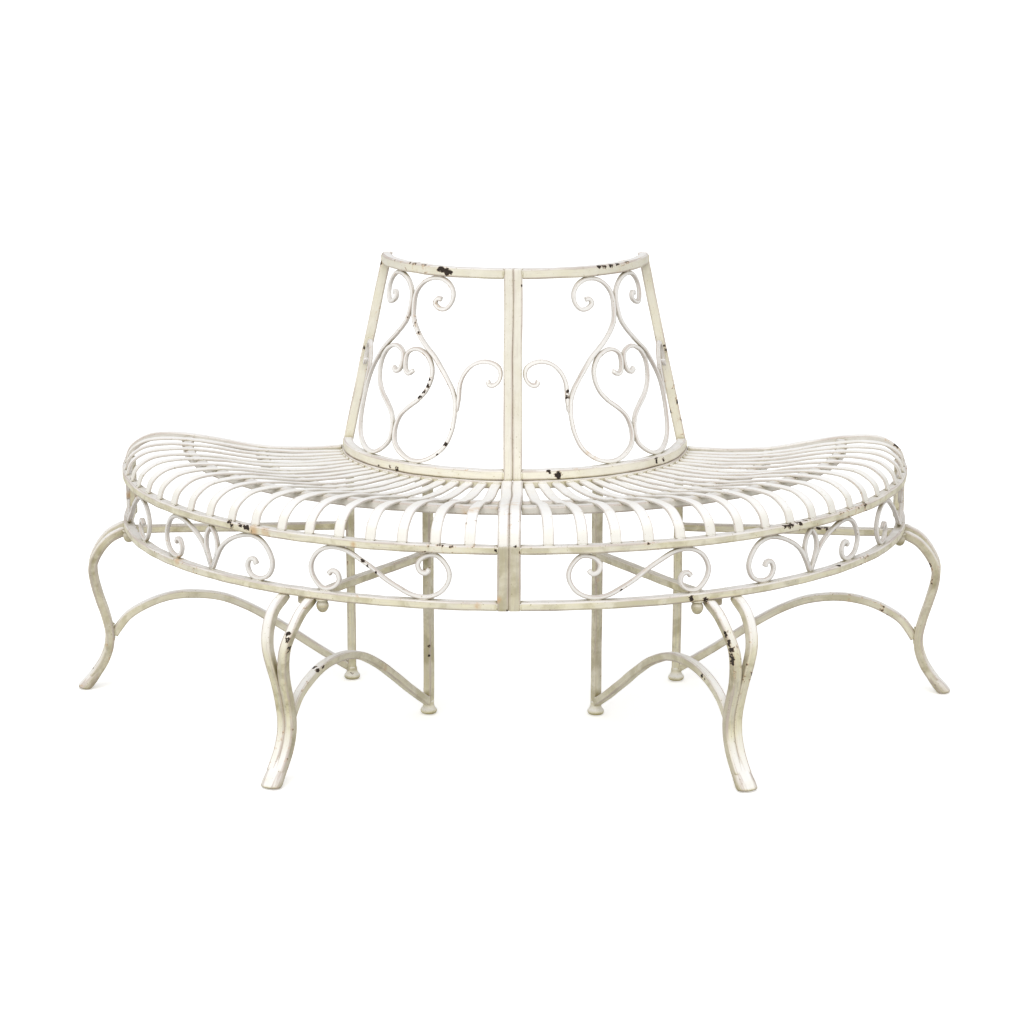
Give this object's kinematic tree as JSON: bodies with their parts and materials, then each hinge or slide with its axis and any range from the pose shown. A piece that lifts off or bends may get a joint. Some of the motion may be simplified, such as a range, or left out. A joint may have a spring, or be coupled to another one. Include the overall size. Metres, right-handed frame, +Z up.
{
  "type": "garden bench",
  "caption": "Half-round wrought-iron tree bench with a slatted contoured seat, scrollwork apron, leaning scroll back panels and cabriole legs, in distressed cream paint.",
  "frame": {"origin": "centre of the bounding box at floor level", "axes": "+Z up, the rounded front of the seat faces -Y, the open side for the tree faces +Y, +X to the right seen from the front"},
  "size_m": [1.7834, 0.7987, 0.884],
  "materials": {
    "frame_paint": "worn antique cream paint on rails and posts",
    "seat_paint": "worn antique cream paint on seat slats",
    "scroll_paint": "worn antique cream paint on scroll bars",
    "leg_paint": "worn antique cream paint, rubbed to dark iron on edges",
    "nut_paint": "painted steel, worn"
  },
  "bodies": {
    "root": {"right_seat_outer_rim": "frame_paint", "left_seat_outer_rim": "frame_paint", "right_seat_inner_rim": "frame_paint", "left_seat_inner_rim": "frame_paint", "right_seat_grille": "seat_paint", "left_seat_grille": "seat_paint", "right_seat_seam_bar": "seat_paint", "left_seat_seam_bar": "seat_paint", "right_seat_end_bar": "seat_paint", "left_seat_end_bar": "seat_paint", "right_apron_rim": "frame_paint", "left_apron_rim": "frame_paint", "right_apron_seam_post": "frame_paint", "left_apron_seam_post": "frame_paint", "right_apron_end_post": "frame_paint", "left_apron_end_post": "frame_paint", "right_apron_seam_scroll": "scroll_paint", "left_apron_seam_scroll": "scroll_paint", "right_apron_lyre": "scroll_paint", "left_apron_lyre": "scroll_paint", "right_apron_end_scroll": "scroll_paint", "left_apron_end_scroll": "scroll_paint", "right_back_bottom_rail": "frame_paint", "left_back_bottom_rail": "frame_paint", "right_back_top_rail": "frame_paint", "left_back_top_rail": "frame_paint", "right_back_seam_upright": "frame_paint", "left_back_seam_upright": "frame_paint", "right_back_end_upright": "frame_paint", "left_back_end_upright": "frame_paint", "right_back_seam_strand": "scroll_paint", "left_back_seam_strand": "scroll_paint", "right_back_end_strand": "scroll_paint", "left_back_end_strand": "scroll_paint", "right_back_seam_side_scroll": "scroll_paint", "left_back_seam_side_scroll": "scroll_paint", "right_back_end_side_scroll": "scroll_paint", "left_back_end_side_scroll": "scroll_paint", "right_front_cabriole_leg": "leg_paint", "left_front_cabriole_leg": "leg_paint", "right_front_inner_leg": "leg_paint", "left_front_inner_leg": "leg_paint", "right_front_arch_stretcher": "leg_paint", "left_front_arch_stretcher": "leg_paint", "right_front_brace": "leg_paint", "left_front_brace": "leg_paint", "right_front_dome_nut": "nut_paint", "left_front_dome_nut": "nut_paint", "right_side_cabriole_leg": "leg_paint", "left_side_cabriole_leg": "leg_paint", "right_side_inner_leg": "leg_paint", "left_side_inner_leg": "leg_paint", "right_side_arch_stretcher": "leg_paint", "left_side_arch_stretcher": "leg_paint", "right_side_brace": "leg_paint", "left_side_brace": "leg_paint", "right_side_dome_nut": "nut_paint", "left_side_dome_nut": "nut_paint"}
  },
  "joints": []
}
